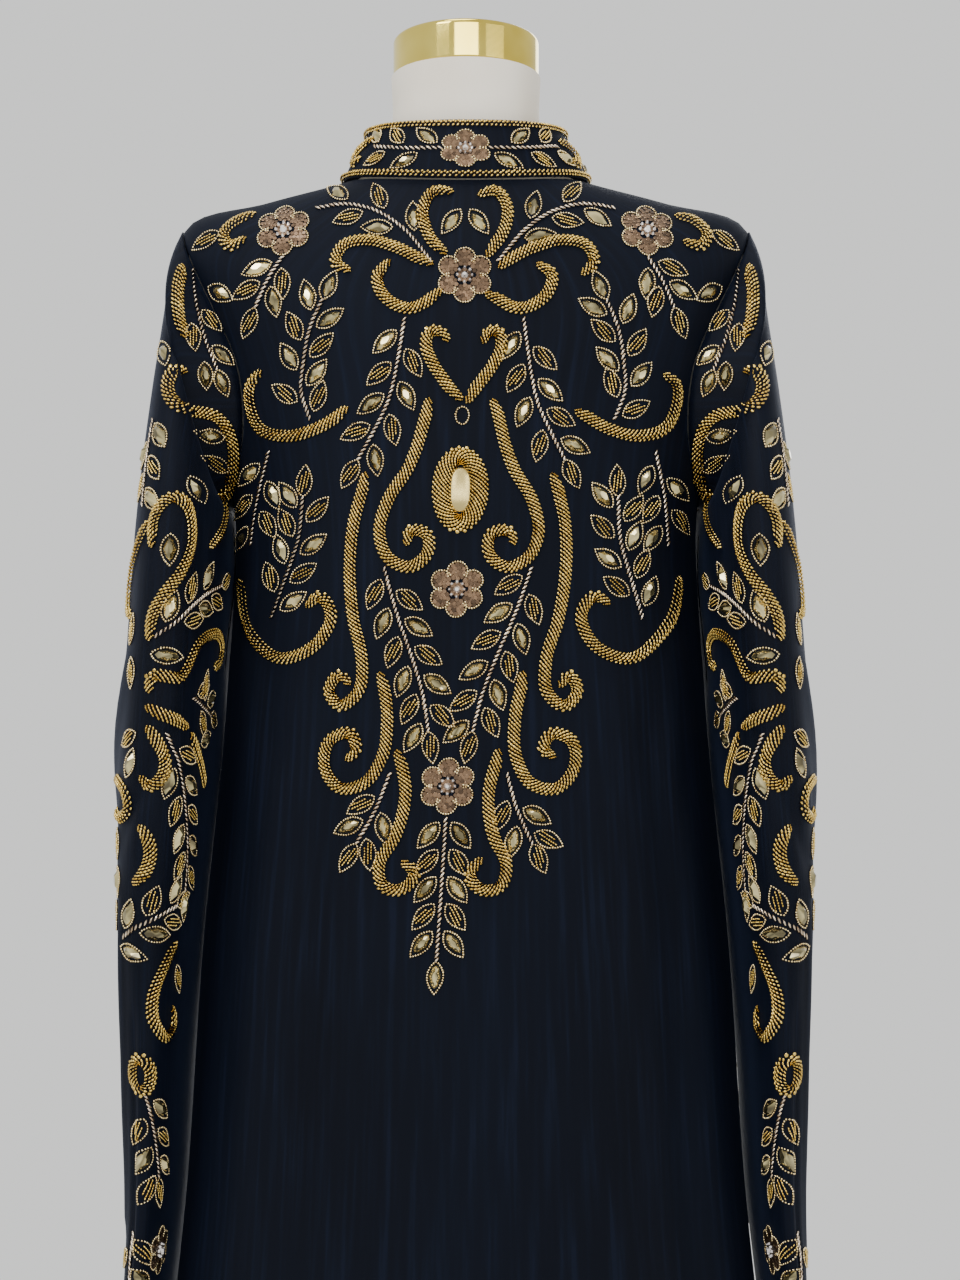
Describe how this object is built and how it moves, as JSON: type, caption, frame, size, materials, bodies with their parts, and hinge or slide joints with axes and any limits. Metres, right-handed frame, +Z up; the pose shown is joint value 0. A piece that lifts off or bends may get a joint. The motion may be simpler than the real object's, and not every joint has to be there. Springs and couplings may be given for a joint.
{
  "type": "beaded bisht on a dress form",
  "caption": "Long beaded bisht with band collar, set-in sleeves and open front, worn by a limbless dress form with neck cap, pole and round base.",
  "frame": {"origin": "centre of the round base's underside, on the floor", "axes": "+Z up, -Y towards the back of the robe (the side pictured), +Y towards its front opening, +X towards the wearer's right side"},
  "size_m": [0.628, 0.4201, 1.59],
  "materials": {
    "cloth": "matt navy-black crepe with gold beadwork",
    "sleeve_cloth": "navy-black georgette, slightly sheer, with gold beadwork",
    "form_cover": "cream jersey stretched smooth over a hard shell",
    "gold_cap": "polished",
    "stand_metal": "satin brass coat on steel"
  },
  "bodies": {
    "root": {"back": "cloth", "front_left": "cloth", "front_right": "cloth", "sleeve_left": "sleeve_cloth", "sleeve_right": "sleeve_cloth", "collar": "cloth", "form_torso": "form_cover", "neck_cap": "gold_cap", "stand_pole": "stand_metal", "stand_base": "stand_metal"}
  },
  "joints": []
}
